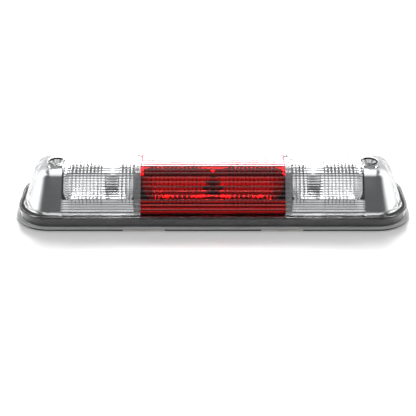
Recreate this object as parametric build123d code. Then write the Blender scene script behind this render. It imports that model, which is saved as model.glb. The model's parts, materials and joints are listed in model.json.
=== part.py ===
from build123d import *
import math
import os

# High-mounted brake and cargo lamp, lying on its mounting face.
# Origin: centre of the mounting face.  +X along the lamp, -Y its lower (steep) side, +Z out of the cab.

# ---------------------------------------------------------------- driving dimensions, mm
LIP_HALF_X, LIP_HALF_Y, LIP_CORNER = 195.3, 48.5, 35.8      # clear lip, the largest outline
SKIRT_HALF_X, SKIRT_HALF_Y, SKIRT_CORNER = 192.0, 45.0, 32.5
SKIRT_WALL, SKIRT_ROUND = 1.8, 0.9
LIP_LOW, LIP_HIGH = 1.5, 2.7
FLANGE_LOW, FLANGE_HIGH = 11.2, 13.2

DOME_BASE = FLANGE_HIGH
DOME_TOP = 48.9
DOME_HALF_X, DOME_HALF_Y, DOME_CORNER = 187.2, 39.5, 28.0
FRONT_SLOPE, FRONT_RADIUS = 50.0, 18.0                      # degrees from the mounting face, mm
BACK_SLOPE, BACK_RADIUS = 70.0, 16.0
END_SLOPE, END_RADIUS = 70.0, 15.0
LENS_WALL = 2.5
DOME_LEVELS = (0, 0.15, 0.3, 0.45, 0.6, 0.72, 0.82, 0.9, 0.955, 0.985, 1)

RIB_TOP = 50.4                # crest of the fluted block
RIB_RADIUS = 14.0
RIB_RAISE = 1.5               # crest above the smooth face
RIB_START_Z = 15.0
RIB_REAR_Z, RIB_SINK = 46.0, 1.0   # where its back meets the smooth cover, and how far it sinks in
RIB_END_Y = 17.0
COARSE_RIBS, COARSE_DEPTH = 16, 0.42
FINE_RIBS, FINE_DEPTH = 32, 0.3

STOP_HALF_X = 70.4            # red insert
STRIP_HALF_X = 76.5           # clear strip beside it, with the coarse flutes
BLOCK_HALF_X = 147.3          # end of the fluted block

SCREW_X, SCREW_Y = 155.0, 6.0
WELL_RADIUS, TOWER_RADIUS = 6.5, 8.5
LENS_HOLE_RADIUS = 6.8
TOWER_TOP, REAR_BOSS_RADIUS = 32.0, 7.5
SLEEVE_RADIUS, SLEEVE_BORE, SLEEVE_BOTTOM = 4.5, 2.75, 1.0
SLEEVE_HEAD_RADIUS, SLEEVE_HEAD = 6.2, 1.0

SEAL_HALF_X, SEAL_HALF_Y, SEAL_CORNER = 186.9, 39.2, 27.7   # inner edge of the lens seal
SHOULDER_LOW, SHOULDER_HIGH = 7.2, 9.7                      # rear housing
HOUSING_HALF_X, HOUSING_HALF_Y, HOUSING_CORNER = 190.0, 43.0, 30.5
HOUSING_WALL = 2.5
PAN_HALF_X, PAN_HALF_Y, PAN_CORNER = 175.0, 27.0, 20.0
FLOOR_LOW, FLOOR_HIGH = 15.5, 18.0

GASKET_HALF_X, GASKET_HALF_Y, GASKET_CORNER = 189.0, 42.5, 30.0
GASKET_WIDTH, GASKET_HIGH = 7.0, 2.4
FLAP_OUT, FLAP_HIGH = 5.5, 1.3                              # its thin flap under the lip

CLIP_X, CLIP_HALF, CLIP_SLOT_HALF = 67.0, 20.0, 4.0
CLIP_LOW, CLIP_HIGH, CLIP_GAP = 0.2, 1.3, 0.3
HOOK_OUT, HOOK_IN, TONGUE_OUT = -40.3, -38.7, -48.3

BEZEL_OUT, BEZEL_IN = 3.7, 5.2                              # inset from the dome's outer face
BEZEL_GAP = 0.6
BEZEL_FIT, BEZEL_RIM_HIGH = 0.3, 10.9                   # rim that lies inside the seal
WINDOW_HALF_X, WINDOW_Y, WINDOW_Z = 147.6, 19.0, 22.0

REFLECTOR_FLOOR, REFLECTOR_WALL = 21.5, 1.5
REFLECTOR_RIM = 41.0
SCREW_TIP = REFLECTOR_FLOOR - 0.6
STOP_BOWL, STOP_BEND = 68.5, 16.0                           # half length of the bowl, radius of its ends
CARGO_BOWL_IN, CARGO_BOWL_OUT, CARGO_BEND = 78.0, 144.5, 9.0
BOWL_BACK, BOWL_ROLL = 18.0, 20.0                          # rear wall's y and the radius up to it
DIVIDER_IN, DIVIDER_OUT, DIVIDER_GAP = 70.8, 76.2, 0.6

SOCKETS = {"stop": 0.0, "cargo_left": -100.0, "cargo_right": 100.0}
SOCKET_Y = -2.0
BARREL_RADIUS, KEYHOLE_RADIUS = 9.2, 9.5
EAR_RADIUS, NOTCH_RADIUS = 11.4, 11.8
EAR_HALF_ANGLE, NOTCH_HALF_ANGLE = 14.0, 18.0
UNLOCK_ANGLE = 45.0
REFLECTOR_HOLE = 10.2
EAR_LOW, EAR_HIGH = FLOOR_HIGH + 0.2, FLOOR_HIGH + 1.6
BARREL_TOP = 22.4
SOCKET_FLANGE_RADIUS, SOCKET_FLANGE_LOW, SOCKET_FLANGE_HIGH = 14.0, 11.0, 13.6
SOCKET_SEAL_RADIUS, SOCKET_SEAL_HIGH = 12.6, FLOOR_LOW - 0.1
WING_HALF_X, WING_HALF_Y, WING_LOW = 13.0, 1.3, 4.5
TAIL_HALF_X, TAIL_HALF_Y, TAIL_CORNER, TAIL_LOW = 8.0, 6.4, 1.5, 1.6
PLUG_HALF_X, PLUG_HALF_Y, PLUG_TOP = 6.3, 4.8, 9.0                # cavity for the plug
BLADE_HALF_X, BLADE_HALF_Y, BLADE_LOW = 1.4, 0.4, 3.0
WEB_LOW, WEB_HIGH = 10.0, 10.6
SPRING_Y, SPRING_HALF_Y, SPRING_HIGH = 3.1, 0.25, 20.5

BULB_RADIUS, BULB_WALL = 7.0, 0.8
BULB_TOP, BULB_SHOULDER, BULB_NECK = 43.0, 25.5, 2.8              # crown, shoulder, length of the neck
WEDGE_HALF_X, WEDGE_HALF_Y, WEDGE_LOW, WEDGE_HIGH = 5.8, 2.2, 13.2, 24.0
POCKET_HALF_X, POCKET_HALF_Y, POCKET_LOW = 6.6, 3.4, 12.8
LEAD_RADIUS, LEAD_X, LEAD_TOP = 0.3, 3.0, 20.0
FILAMENT_RADIUS, FILAMENT_Z = 0.5, 33.0

SCREW_SPOTS = [(-28, -10), (28, -10), (-122, -19), (-122, -5), (122, -19), (122, -5)]
THREAD_RADIUS, BOSS_RADIUS = 1.5, 3.5
SCREW_HEAD_RADIUS, SCREW_HEAD, RECESS_RADIUS, RECESS_DEPTH = 3.0, 2.0, 1.2, 1.2
VENT_X, VENT_Y, VENT_BORE = 60.0, 14.0, 1.5
VENT_NECK_RADIUS, VENT_CAP_RADIUS, VENT_LOW, VENT_CAP_HIGH = 3.0, 5.5, 8.0, 12.5

FAR = 80.0                    # past every face, for cutting boxes


# ---------------------------------------------------------------- shared shapes
def slab(half_x, half_y, corner, low, high):
    """Upright plate with rounded corners, centred on the origin."""
    return extrude(Pos(0, 0, low) * RectangleRounded(2 * half_x, 2 * half_y, corner), high - low)


def box(x_low, x_high, y_low, y_high, z_low, z_high):
    centre = Pos((x_low + x_high) / 2, (y_low + y_high) / 2, (z_low + z_high) / 2)
    return centre * Box(x_high - x_low, y_high - y_low, z_high - z_low)


def rod(x, y, radius, low, high):
    return Pos(x, y, (low + high) / 2) * Cylinder(radius, high - low)


def prism_x(edges, x_low, x_high):
    """Closed outline in the YZ plane at x_low, pushed along X."""
    return extrude(make_face(edges), x_high - x_low, dir=(1, 0, 0))


def wall_inset(z, slope_deg, radius, inset):
    """How far a dome wall has moved in from its base line at height z.  It rises at a slope and then
    rolls over to the flat top.  inset is the distance under the dome's outer face."""
    slope = math.radians(slope_deg)
    top, bend = DOME_TOP - inset, radius - inset
    bend_z = top - bend * (1 - math.cos(slope))
    start = inset / math.sin(slope)
    if z <= bend_z:
        return start + (z - DOME_BASE) / math.tan(slope)
    centre = start + (bend_z - DOME_BASE) / math.tan(slope) + bend * math.sin(slope)
    return centre - math.sqrt(max(bend**2 - (z - top + bend) ** 2, 0))


def dome_section(z, inset):
    """Half length, front y, back y and corner radius of the dome at height z."""
    half_x = DOME_HALF_X - wall_inset(z, END_SLOPE, END_RADIUS, inset)
    front = -DOME_HALF_Y + wall_inset(z, FRONT_SLOPE, FRONT_RADIUS, inset)
    back = DOME_HALF_Y - wall_inset(z, BACK_SLOPE, BACK_RADIUS, inset)
    corner = DOME_CORNER * ((back - front) / (2 * DOME_HALF_Y)) ** 0.9
    return half_x, front, back, corner


def section_face(z, inset):
    half_x, front, back, corner = dome_section(z, inset)
    return Pos(0, (front + back) / 2, z) * RectangleRounded(2 * half_x, back - front, corner)


def dome(inset=0.0, foot=DOME_BASE):
    """Solid dome whose face lies inset mm under the outer one, with a straight foot below its base."""
    rise = DOME_TOP - inset - DOME_BASE
    shape = loft([section_face(DOME_BASE + share * rise, inset) for share in DOME_LEVELS])
    if foot < DOME_BASE:
        base = section_face(DOME_BASE, inset)
        shape += extrude(Pos(0, 0, foot - DOME_BASE) * base, DOME_BASE - foot)
    return shape


def arch(inset, x_low, x_high, low=DOME_BASE):
    """The dome's middle stretch as a straight prism: the region under its profile."""
    levels = [DOME_BASE + share * (DOME_TOP - inset - DOME_BASE) for share in DOME_LEVELS]
    front = [(x_low, dome_section(z, inset)[1], z) for z in levels]
    back = [(x_low, dome_section(z, inset)[2], z) for z in reversed(levels)]
    feet = [(x_low, back[-1][1], low), (x_low, front[0][1], low)] if low < DOME_BASE else []
    points = front + back + feet
    return prism_x(Polyline(*points, close=True), x_low, x_high)


# ---------------------------------------------------------------- fluted block
RIB_SLOPE = math.radians(FRONT_SLOPE)
RIB_BEND_Z = RIB_TOP - RIB_RADIUS * (1 - math.cos(RIB_SLOPE))
RIB_FACE = (RIB_BEND_Z - RIB_START_Z) / math.sin(RIB_SLOPE)
RIB_ROLL = RIB_RADIUS * RIB_SLOPE
RIB_START_Y = ((RIB_START_Z - DOME_BASE) / math.tan(RIB_SLOPE) - RIB_RAISE / math.sin(RIB_SLOPE)
               - DOME_HALF_Y)
RIB_CENTRE_Y = RIB_START_Y + RIB_FACE * math.cos(RIB_SLOPE) + RIB_RADIUS * math.sin(RIB_SLOPE)
RIB_LENGTH = RIB_FACE + RIB_ROLL + RIB_END_Y - RIB_CENTRE_Y


def rib_point(x, s, lift):
    """A point s mm along the crest line, which climbs the front face, rolls over and runs back."""
    if s <= RIB_FACE:
        angle = RIB_SLOPE
        y = RIB_START_Y + s * math.cos(angle)
        z = RIB_START_Z + s * math.sin(angle)
    elif s <= RIB_FACE + RIB_ROLL:
        angle = RIB_SLOPE - (s - RIB_FACE) / RIB_RADIUS
        y = RIB_CENTRE_Y - RIB_RADIUS * math.sin(angle)
        z = RIB_TOP - RIB_RADIUS * (1 - math.cos(angle))
    else:
        angle, y, z = 0.0, RIB_CENTRE_Y + s - RIB_FACE - RIB_ROLL, RIB_TOP
    return (x, y - lift * math.sin(angle), z + lift * math.cos(angle))


def rib_edges(x, count, depth):
    """Row of pillow flutes along the crest line."""
    pitch = RIB_LENGTH / count
    edges = []
    for i in range(count):
        edges.append(ThreePointArc(
            rib_point(x, i * pitch, -depth),
            rib_point(x, (i + 0.5) * pitch, 0),
            rib_point(x, (i + 1) * pitch, -depth)))
    return edges


def fluted_block(x_low, x_high, count, depth):
    """Solid under the flutes, down to the dome's base and back to the dome's rear face."""
    edges = rib_edges(x_low, count, depth)
    first = rib_point(x_low, 0, -depth)
    last = rib_point(x_low, RIB_LENGTH, -depth)
    foot_z = RIB_START_Z - RIB_SINK
    foot_y = dome_section(foot_z, 0)[1]
    rear_y = dome_section(RIB_REAR_Z, 0)[2] - RIB_SINK
    path = [last, (x_low, rear_y, RIB_REAR_Z), (x_low, rear_y, DOME_BASE),
            (x_low, foot_y + RIB_SINK, DOME_BASE), (x_low, foot_y, foot_z), first]
    edges += [Line(a, b) for a, b in zip(path, path[1:])]
    return prism_x(edges, x_low, x_high)


# ---------------------------------------------------------------- lenses
def outer_lens(cavity):
    """Clear cover: dome ends, fine flutes over the cargo chambers, flange, skirt and lip."""
    body = dome()
    for side in (-1, 1):
        strip = sorted((side * STOP_HALF_X, side * STRIP_HALF_X))
        cargo = sorted((side * STRIP_HALF_X, side * BLOCK_HALF_X))
        body += fluted_block(*strip, COARSE_RIBS, COARSE_DEPTH)
        body += fluted_block(*cargo, FINE_RIBS, FINE_DEPTH)
    skirt = slab(SKIRT_HALF_X, SKIRT_HALF_Y, SKIRT_CORNER, LIP_LOW, FLANGE_HIGH)
    skirt = fillet(skirt.faces().sort_by(Axis.Z)[-1].outer_wire().edges(), SKIRT_ROUND)
    body += skirt
    body += slab(LIP_HALF_X, LIP_HALF_Y, LIP_CORNER, LIP_LOW, LIP_HIGH)
    body -= slab(SKIRT_HALF_X - SKIRT_WALL, SKIRT_HALF_Y - SKIRT_WALL, SKIRT_CORNER - SKIRT_WALL,
                 LIP_LOW, FLANGE_LOW)
    for side in (-1, 1):
        body -= rod(side * SCREW_X, SCREW_Y, LENS_HOLE_RADIUS, TOWER_TOP, FAR)
    collars = [rod(side * SCREW_X, SCREW_Y, TOWER_RADIUS, TOWER_TOP, DOME_TOP)
               - rod(side * SCREW_X, SCREW_Y, LENS_HOLE_RADIUS, TOWER_TOP, DOME_TOP)
               for side in (-1, 1)]
    body -= cavity
    for collar in collars:
        body += collar & dome()
    return body - box(-STOP_HALF_X, STOP_HALF_X, -FAR, FAR, DOME_BASE, FAR)


def stop_lens(cavity):
    """Red insert welded between the two clear halves of the cover."""
    solid = fluted_block(-STOP_HALF_X, STOP_HALF_X, COARSE_RIBS, COARSE_DEPTH)
    solid += arch(0, -STOP_HALF_X, STOP_HALF_X)
    return solid - cavity


def lens_seal():
    """Black sealing bead between the clear flange and the housing's shoulder."""
    ring = slab(HOUSING_HALF_X, HOUSING_HALF_Y, HOUSING_CORNER, SHOULDER_HIGH, FLANGE_LOW)
    return ring - slab(SEAL_HALF_X, SEAL_HALF_Y, SEAL_CORNER, SHOULDER_HIGH, FLANGE_LOW)


# ---------------------------------------------------------------- inside
def chrome_bezel():
    """Metallised inner cover: smooth ends and back, one window in front of the reflectors, and a rim."""
    shell = dome(BEZEL_OUT, SHOULDER_HIGH)
    shell += slab(SEAL_HALF_X - BEZEL_FIT, SEAL_HALF_Y - BEZEL_FIT, SEAL_CORNER - BEZEL_FIT,
                  SHOULDER_HIGH, BEZEL_RIM_HIGH)
    shell -= dome(BEZEL_IN, SHOULDER_HIGH)
    shell -= box(-WINDOW_HALF_X, WINDOW_HALF_X, -FAR, WINDOW_Y, WINDOW_Z, FAR)
    for side in (-1, 1):
        shell -= rod(side * SCREW_X, SCREW_Y, TOWER_RADIUS + BEZEL_GAP, FLOOR_HIGH, FAR)
    return shell


def bowl(x_low, x_high, bend, wall):
    """Space above a reflector's surface, wall mm outside it: a trough along Y crossed with one along X."""
    floor = REFLECTOR_FLOOR - wall
    x_low, x_high, bend = x_low - wall, x_high + wall, bend + wall
    back, roll = BOWL_BACK + wall, BOWL_ROLL + wall
    along = Plane.XZ.offset(FAR) * Pos((x_low + x_high) / 2, (floor + FAR) / 2) * Rectangle(
        x_high - x_low, FAR - floor)
    along = fillet(along.vertices().group_by(Axis.Z)[0], bend)
    across = Plane.YZ.offset(x_low) * Pos((back - FAR) / 2, (floor + FAR) / 2) * Rectangle(
        back + FAR, FAR - floor)
    across = fillet(across.vertices().group_by(Axis.Z)[0].sort_by(Axis.Y)[-1], roll)
    return extrude(along, 2 * FAR, dir=(0, 1, 0)) & extrude(across, x_high - x_low, dir=(1, 0, 0))


def reflector(x_low, x_high, bend, bulb_x):
    """Metallised bowl around one bulb, cut to the lens above it, on short screw bosses."""
    shell = bowl(x_low, x_high, bend, REFLECTOR_WALL) - bowl(x_low, x_high, bend, 0)
    shell &= arch(BEZEL_OUT, x_low - REFLECTOR_WALL, x_high + REFLECTOR_WALL)
    shell -= box(-FAR * 3, FAR * 3, -FAR, FAR, REFLECTOR_RIM, FAR)
    shell -= box(-FAR * 3, FAR * 3, -FAR, dome_section(WINDOW_Z, BEZEL_IN)[1] + BEZEL_FIT,
                 FLOOR_HIGH, WINDOW_Z + BEZEL_FIT)
    shell -= rod(bulb_x, SOCKET_Y, REFLECTOR_HOLE, FLOOR_HIGH, FAR)
    under = REFLECTOR_FLOOR - REFLECTOR_WALL
    for x, y in SCREW_SPOTS:
        if x_low < x < x_high:
            shell += rod(x, y, BOSS_RADIUS, FLOOR_HIGH, under + REFLECTOR_WALL / 3)
            shell -= rod(x, y, THREAD_RADIUS, FLOOR_HIGH, SCREW_TIP)
    return shell


def chamber_divider(side):
    """Opaque wall that keeps the red and the white light apart, notched over the bezel's front strip."""
    low, high = sorted((side * DIVIDER_IN, side * DIVIDER_OUT))
    wall = arch(LENS_WALL + DIVIDER_GAP, low, high)
    notch = dome_section(WINDOW_Z, BEZEL_IN)[1] + DIVIDER_GAP
    wall -= box(low, high, -FAR, notch, FLOOR_HIGH, WINDOW_Z + DIVIDER_GAP)
    return wall & box(low, high, -FAR, WINDOW_Y - DIVIDER_GAP, FLOOR_HIGH, FAR)


# ---------------------------------------------------------------- rear housing
def keyhole(x):
    """Bayonet hole: a round hole with three notches."""
    hole = rod(x, SOCKET_Y, KEYHOLE_RADIUS, FLOOR_LOW - 1, FLOOR_HIGH + 1)
    for k in range(3):
        hole += sector(x, NOTCH_RADIUS, NOTCH_HALF_ANGLE, 120 * k + 90 - UNLOCK_ANGLE,
                       FLOOR_LOW - 1, FLOOR_HIGH + 1)
    return hole


def sector(x, radius, half_angle, middle, low, high):
    """Slice of a disc about a socket's axis."""
    def at(r, angle):
        turn = math.radians(middle + angle)
        return (x + r * math.cos(turn), SOCKET_Y + r * math.sin(turn), low)
    centre = (x, SOCKET_Y, low)
    face = make_face([
        Line(centre, at(radius, -half_angle)),
        ThreePointArc(at(radius, -half_angle), at(radius, 0), at(radius, half_angle)),
        Line(at(radius, half_angle), centre)])
    return extrude(face, high - low, dir=(0, 0, 1))


def rear_housing():
    """Dark tray: outer wall behind the skirt, shoulder for the seal and a raised floor."""
    body = slab(HOUSING_HALF_X, HOUSING_HALF_Y, HOUSING_CORNER, GASKET_HIGH, SHOULDER_HIGH)
    body -= slab(HOUSING_HALF_X - HOUSING_WALL, HOUSING_HALF_Y - HOUSING_WALL,
                 HOUSING_CORNER - HOUSING_WALL, GASKET_HIGH, SHOULDER_LOW)
    body += slab(PAN_HALF_X, PAN_HALF_Y, PAN_CORNER, SHOULDER_LOW, FLOOR_HIGH)
    body -= slab(PAN_HALF_X - HOUSING_WALL, PAN_HALF_Y - HOUSING_WALL, PAN_CORNER - HOUSING_WALL,
                 SHOULDER_LOW, FLOOR_LOW)
    for x in SOCKETS.values():
        body -= keyhole(x)
    for x, y in SCREW_SPOTS:
        body -= rod(x, y, THREAD_RADIUS, FLOOR_LOW, FLOOR_HIGH)
    for side in (-1, 1):
        x = side * SCREW_X
        body += rod(x, SCREW_Y, TOWER_RADIUS, FLOOR_LOW, TOWER_TOP)
        body += rod(x, SCREW_Y, REAR_BOSS_RADIUS, GASKET_HIGH, FLOOR_LOW)
        body -= rod(x, SCREW_Y, WELL_RADIUS, FLOOR_HIGH, TOWER_TOP)
        body -= rod(x, SCREW_Y, SLEEVE_RADIUS, GASKET_HIGH, FLOOR_HIGH)
        body -= rod(side * VENT_X, VENT_Y, VENT_BORE, FLOOR_LOW, FLOOR_HIGH)
    return body


def mounting_gasket():
    """Foam ring that seals the lamp to the cab, with a flap under the lip, notched where the clips pass."""
    ring = slab(GASKET_HALF_X, GASKET_HALF_Y, GASKET_CORNER, 0, GASKET_HIGH)
    ring += slab(GASKET_HALF_X + FLAP_OUT, GASKET_HALF_Y + FLAP_OUT, GASKET_CORNER + FLAP_OUT, 0, FLAP_HIGH)
    ring -= slab(GASKET_HALF_X - GASKET_WIDTH, GASKET_HALF_Y - GASKET_WIDTH,
                 GASKET_CORNER - GASKET_WIDTH, 0, GASKET_HIGH)
    for side in (-1, 1):
        x = side * CLIP_X
        ring -= box(x - CLIP_HALF - CLIP_GAP, x + CLIP_HALF + CLIP_GAP, -FAR, HOOK_IN + CLIP_GAP,
                    0, GASKET_HIGH)
    return ring


def retaining_clip(side):
    """Nylon clip hooked under the lower edge, with a slotted tongue below the lip."""
    x = side * CLIP_X
    low, high = x - CLIP_HALF, x + CLIP_HALF
    clip = box(low, high, TONGUE_OUT, HOOK_IN, CLIP_LOW, CLIP_HIGH)
    clip += box(low, high, CLIP_GAP - HOUSING_HALF_Y, HOOK_IN, CLIP_HIGH, GASKET_HIGH)
    clip += box(low, high, HOOK_OUT, HOOK_IN, GASKET_HIGH, SHOULDER_LOW - CLIP_GAP)
    return clip - box(x - CLIP_SLOT_HALF, x + CLIP_SLOT_HALF, -FAR, -HOUSING_HALF_Y, 0, CLIP_HIGH)


def screw_sleeve(side):
    """Steel sleeve that takes the mounting screw's load."""
    x = side * SCREW_X
    sleeve = rod(x, SCREW_Y, SLEEVE_RADIUS, SLEEVE_BOTTOM, FLOOR_HIGH)
    sleeve += rod(x, SCREW_Y, SLEEVE_HEAD_RADIUS, FLOOR_HIGH, FLOOR_HIGH + SLEEVE_HEAD)
    return sleeve - rod(x, SCREW_Y, SLEEVE_BORE, SLEEVE_BOTTOM, FLOOR_HIGH + SLEEVE_HEAD)


def vent_cap(side):
    """Rubber breather cap under the floor."""
    x = side * VENT_X
    cap = rod(x, VENT_Y, VENT_NECK_RADIUS, VENT_LOW, FLOOR_LOW)
    cap += rod(x, VENT_Y, VENT_CAP_RADIUS, VENT_LOW, VENT_CAP_HIGH)
    return cap - rod(x, VENT_Y, VENT_BORE, VENT_LOW + 2, FLOOR_LOW)


def reflector_screws():
    """Self-tapping screws from behind, through the floor into the reflectors' bosses."""
    head_low = FLOOR_LOW - SCREW_HEAD
    screws = []
    for x, y in SCREW_SPOTS:
        head = rod(x, y, SCREW_HEAD_RADIUS, head_low, FLOOR_LOW)
        head = fillet(head.edges().group_by(Axis.Z)[0], 0.9)
        recess = rod(x, y, RECESS_RADIUS, head_low, head_low + RECESS_DEPTH)
        screws.append(head + rod(x, y, THREAD_RADIUS, FLOOR_LOW, SCREW_TIP) - recess)
    return screws


# ---------------------------------------------------------------- sockets and bulbs
def contact_blades(x):
    """Two stamped contacts: a blade in the connector, a web and a spring leaf beside the bulb."""
    blades = []
    for way in (-1, 1):
        low, high = x + way * LEAD_X - BLADE_HALF_X, x + way * LEAD_X + BLADE_HALF_X
        leaf_y = SOCKET_Y + way * SPRING_Y
        leaf = box(low, high, leaf_y - SPRING_HALF_Y, leaf_y + SPRING_HALF_Y, WEB_LOW, SPRING_HIGH)
        web_y = sorted((SOCKET_Y - way * BLADE_HALF_Y, leaf_y + way * SPRING_HALF_Y))
        web = box(low, high, *web_y, WEB_LOW, WEB_HIGH)
        blade = box(low, high, SOCKET_Y - BLADE_HALF_Y, SOCKET_Y + BLADE_HALF_Y, BLADE_LOW, WEB_HIGH)
        blades.append(leaf + web + blade)
    return blades


def socket_body(x):
    """Twist-lock socket: tail connector, thumb wings, flange, barrel and bayonet ears."""
    body = rod(x, SOCKET_Y, SOCKET_FLANGE_RADIUS, SOCKET_FLANGE_LOW, SOCKET_FLANGE_HIGH)
    body = fillet(body.edges().group_by(Axis.Z)[0], 0.8)
    body += rod(x, SOCKET_Y, BARREL_RADIUS, SOCKET_FLANGE_HIGH, BARREL_TOP)
    for k in range(3):
        body += sector(x, EAR_RADIUS, EAR_HALF_ANGLE, 120 * k + 90, EAR_LOW, EAR_HIGH)
    tail = Pos(x, SOCKET_Y, TAIL_LOW) * RectangleRounded(2 * TAIL_HALF_X, 2 * TAIL_HALF_Y, TAIL_CORNER)
    body += extrude(tail, SOCKET_FLANGE_LOW - TAIL_LOW)
    body += box(x - WING_HALF_X, x + WING_HALF_X, SOCKET_Y - WING_HALF_Y, SOCKET_Y + WING_HALF_Y,
                WING_LOW, SOCKET_FLANGE_HIGH)
    body -= box(x - PLUG_HALF_X, x + PLUG_HALF_X, SOCKET_Y - PLUG_HALF_Y, SOCKET_Y + PLUG_HALF_Y,
                0, PLUG_TOP)
    body -= box(x - POCKET_HALF_X, x + POCKET_HALF_X, SOCKET_Y - POCKET_HALF_Y,
                SOCKET_Y + POCKET_HALF_Y, POCKET_LOW, FAR)
    for blade in contact_blades(x):
        body -= blade
    return body


def socket_seal(x):
    """Rubber ring between the socket's flange and the floor."""
    ring = rod(x, SOCKET_Y, SOCKET_SEAL_RADIUS, SOCKET_FLANGE_HIGH, SOCKET_SEAL_HIGH)
    return ring - rod(x, SOCKET_Y, BARREL_RADIUS, SOCKET_FLANGE_HIGH, SOCKET_SEAL_HIGH)


def bulb_form(x, wall):
    """Solid of revolution of the bulb's envelope, wall mm inside its outer face."""
    radius, top, shoulder = BULB_RADIUS - wall, BULB_TOP - wall, BULB_SHOULDER + wall
    neck = shoulder - BULB_NECK
    crown = radius * math.sqrt(0.5)
    outline = [
        Line((x, SOCKET_Y, neck), (x + radius * 0.45, SOCKET_Y, neck)),
        Line((x + radius * 0.45, SOCKET_Y, neck), (x + radius, SOCKET_Y, shoulder)),
        Line((x + radius, SOCKET_Y, shoulder), (x + radius, SOCKET_Y, top - radius)),
        ThreePointArc((x + radius, SOCKET_Y, top - radius),
                      (x + crown, SOCKET_Y, top - radius + crown), (x, SOCKET_Y, top)),
        Line((x, SOCKET_Y, top), (x, SOCKET_Y, neck))]
    return revolve(make_face(outline), Axis((x, SOCKET_Y, 0), (0, 0, 1)))


def bulb_glass(x):
    """Wedge-base glass envelope, hollow, with its pinched base."""
    pinch = box(x - WEDGE_HALF_X, x + WEDGE_HALF_X, SOCKET_Y - WEDGE_HALF_Y, SOCKET_Y + WEDGE_HALF_Y,
                WEDGE_LOW, WEDGE_HIGH)
    pinch = fillet(pinch.edges().filter_by(Axis.Z), 1.2)
    return bulb_form(x, 0) + pinch - bulb_form(x, BULB_WALL)


def bulb_leads(x):
    """Support wires inside the envelope and the bare ends folded up the pinched base."""
    leads = []
    for way in (-1, 1):
        post_low, post_high = WEDGE_HIGH + 0.9, FILAMENT_Z + LEAD_RADIUS
        leads.append(rod(x + way * LEAD_X, SOCKET_Y, LEAD_RADIUS, post_low, post_high))
        y = SOCKET_Y + way * (WEDGE_HALF_Y + LEAD_RADIUS)
        leads.append(rod(x + way * LEAD_X, y, LEAD_RADIUS, WEDGE_LOW + 0.5, LEAD_TOP))
    return leads


def bulb_filament(x):
    """Tungsten coil, as its outer form."""
    length = 2 * (LEAD_X - LEAD_RADIUS)
    return Pos(x, SOCKET_Y, FILAMENT_Z) * Rot(0, 90, 0) * Cylinder(FILAMENT_RADIUS, length)


# ---------------------------------------------------------------- build and write
def build():
    cavity = dome(LENS_WALL, FLANGE_LOW)
    parts = {
        "outer_lens": outer_lens(cavity),
        "stop_lens": stop_lens(cavity),
        "lens_seal": lens_seal(),
        "chrome_bezel": chrome_bezel(),
        "stop_reflector": reflector(-STOP_BOWL, STOP_BOWL, STOP_BEND, 0.0),
        "cargo_reflector_left": reflector(
            -CARGO_BOWL_OUT, -CARGO_BOWL_IN, CARGO_BEND, SOCKETS["cargo_left"]),
        "cargo_reflector_right": reflector(
            CARGO_BOWL_IN, CARGO_BOWL_OUT, CARGO_BEND, SOCKETS["cargo_right"]),
        "rear_housing": rear_housing(),
        "mounting_gasket": mounting_gasket(),
        "reflector_screws": reflector_screws(),
    }
    for name, side in (("left", -1), ("right", 1)):
        parts[f"chamber_divider_{name}"] = chamber_divider(side)
        parts[f"retaining_clip_{name}"] = retaining_clip(side)
        parts[f"screw_sleeve_{name}"] = screw_sleeve(side)
        parts[f"vent_cap_{name}"] = vent_cap(side)
    for name, x in SOCKETS.items():
        parts[f"{name}_socket_body"] = socket_body(x)
        parts[f"{name}_socket_seal"] = socket_seal(x)
        parts[f"{name}_socket_contacts"] = contact_blades(x)
        parts[f"{name}_bulb_glass"] = bulb_glass(x)
        parts[f"{name}_bulb_leads"] = bulb_leads(x)
        parts[f"{name}_bulb_filament"] = bulb_filament(x)
    return parts


def write(parts):
    os.makedirs("parts", exist_ok=True)
    for name, shape in parts.items():
        solids = shape if isinstance(shape, list) else [shape]
        solids = [solid for piece in solids for solid in piece.solids()]
        whole = solids[0] if len(solids) == 1 else Compound(children=solids)
        export_step(whole, f"parts/{name}.step")


write(build())
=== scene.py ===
"""High-mounted brake and cargo lamp, lying on its mounting face on a pale floor.

Lengths are in millimetres until Solid.build() turns them into metres.  The lamp's own frame:
+X along it, -Y its lower, sloping side, +Z out through the lens.
"""

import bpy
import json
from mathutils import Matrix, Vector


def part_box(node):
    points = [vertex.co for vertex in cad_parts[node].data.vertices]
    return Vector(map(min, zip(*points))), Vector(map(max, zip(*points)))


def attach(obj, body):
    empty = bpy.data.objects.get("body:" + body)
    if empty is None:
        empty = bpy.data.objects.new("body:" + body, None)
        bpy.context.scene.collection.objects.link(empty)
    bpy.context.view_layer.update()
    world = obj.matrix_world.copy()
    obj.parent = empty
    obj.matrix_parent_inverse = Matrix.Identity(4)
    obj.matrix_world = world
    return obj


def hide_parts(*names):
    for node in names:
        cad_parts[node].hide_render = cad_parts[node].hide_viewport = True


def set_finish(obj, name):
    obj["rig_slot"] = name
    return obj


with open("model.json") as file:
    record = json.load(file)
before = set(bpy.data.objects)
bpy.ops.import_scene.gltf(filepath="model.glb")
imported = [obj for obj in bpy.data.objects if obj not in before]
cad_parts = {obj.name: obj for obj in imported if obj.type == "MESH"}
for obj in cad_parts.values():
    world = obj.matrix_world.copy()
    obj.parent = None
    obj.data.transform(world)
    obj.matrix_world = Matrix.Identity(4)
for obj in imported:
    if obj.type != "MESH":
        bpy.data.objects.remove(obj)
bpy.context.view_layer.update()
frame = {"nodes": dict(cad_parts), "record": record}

import json
import math

import bmesh
import bpy

MM = 0.001
WELD = 0.0001                             # mm; points closer than this are one


def cad(node):
    """Lowest and highest corner of a CAD node, mm."""
    return [[c / MM for c in corner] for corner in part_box(node)]


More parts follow.
